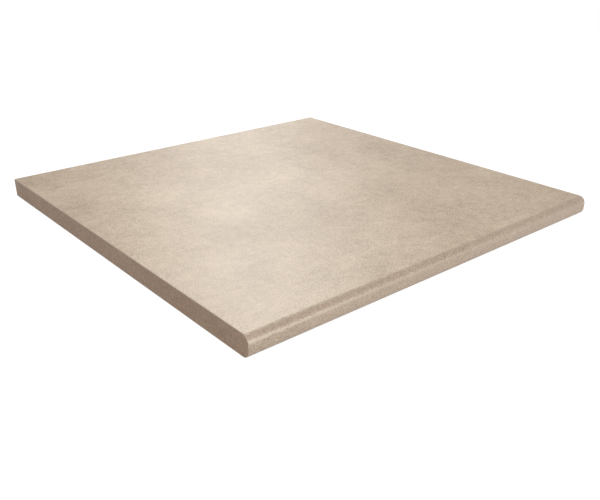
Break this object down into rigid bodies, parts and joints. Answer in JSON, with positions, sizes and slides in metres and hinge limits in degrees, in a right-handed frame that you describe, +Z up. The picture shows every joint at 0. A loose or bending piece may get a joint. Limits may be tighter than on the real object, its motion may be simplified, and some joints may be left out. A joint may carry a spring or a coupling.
{
  "type": "pool edge tile",
  "caption": "Square porcelain edge tile with a rounded nose along its front edge and a keyed back, laid at a pool's rim as coping.",
  "frame": {"origin": "middle of the underside, under the centre of the tile's overall box", "axes": "+X along the nose, -Y out of the nose over the water, +Z up through the walking face"},
  "size_m": [0.445, 0.45, 0.02],
  "materials": {
    "porcelain": "satin cement-look beige, through-coloured"
  },
  "bodies": {
    "root": {"pool_edge_tile": "porcelain"}
  },
  "joints": []
}
